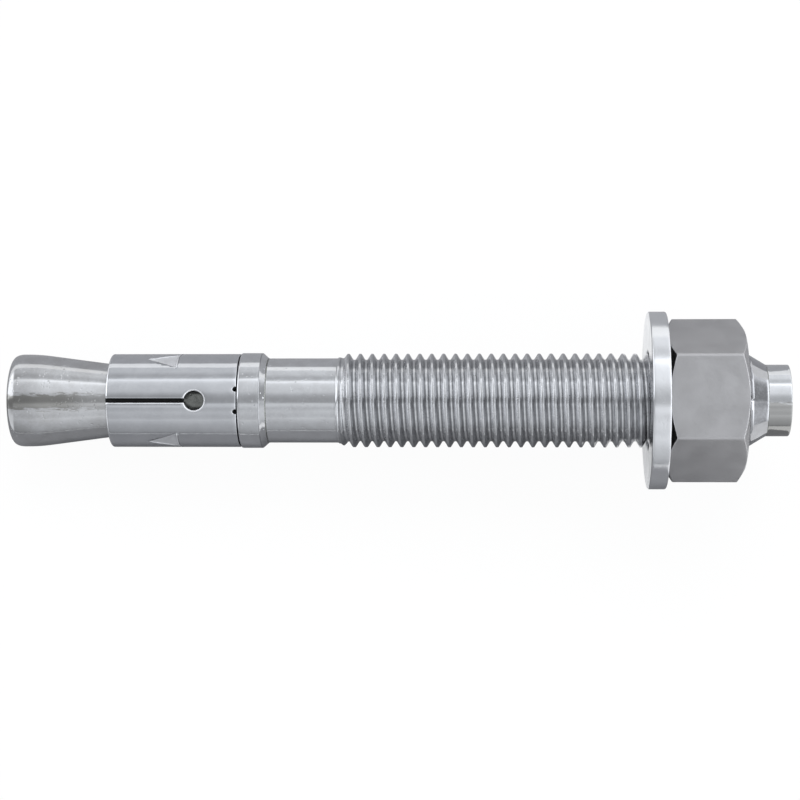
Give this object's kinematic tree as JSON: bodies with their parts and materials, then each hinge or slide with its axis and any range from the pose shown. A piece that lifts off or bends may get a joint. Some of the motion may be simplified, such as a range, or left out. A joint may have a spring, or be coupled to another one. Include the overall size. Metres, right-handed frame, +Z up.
{
  "type": "wedge anchor",
  "caption": "Through-fixing wedge anchor: a cone bolt with a slotted expansion sleeve round its neck, and a plain washer and hexagon nut on its threaded end.",
  "frame": {"origin": "under the middle of the anchor as it lies on a flat surface, at the surface", "axes": "+X from the cone end towards the threaded point, +Z up with the sleeve's open slot on top; the bolt's axis rises 3.8 degrees towards +X"},
  "size_m": [0.1306, 0.0296, 0.0298],
  "materials": {
    "bolt_zinc": "bright zinc plate on rolled steel",
    "sleeve_zinc": "bright zinc plate on rolled strip",
    "washer_zinc": "bright zinc plate",
    "nut_zinc": "satin zinc plate"
  },
  "bodies": {
    "bolt": {"cone_bolt": "bolt_zinc"},
    "sleeve": {"expansion_sleeve": "sleeve_zinc"},
    "washer": {"washer": "washer_zinc"},
    "nut": {"hex_nut": "nut_zinc"}
  },
  "joints": [
    {"name": "sleeve_turn", "type": "hinge", "parent": "bolt", "child": "sleeve", "pos_m": [-0.03727, 0, 0.00952], "axis": [-0.9978, 0, -0.0669], "continuous": true},
    {"name": "washer_slide", "type": "slide", "parent": "bolt", "child": "washer", "axis": [-0.9978, 0, -0.0669], "range_m": [-0.013, 0.053]},
    {"name": "nut_turn", "type": "hinge", "parent": "washer", "child": "nut", "pos_m": [0.05103, 0, 0.01544], "axis": [-0.9978, 0, -0.0669], "range_deg": [-2340, 9540]}
  ],
  "couplings": [
    {"joint": "washer_slide", "follows": "nut_turn", "m_per_rad": 0.00031831}
  ]
}
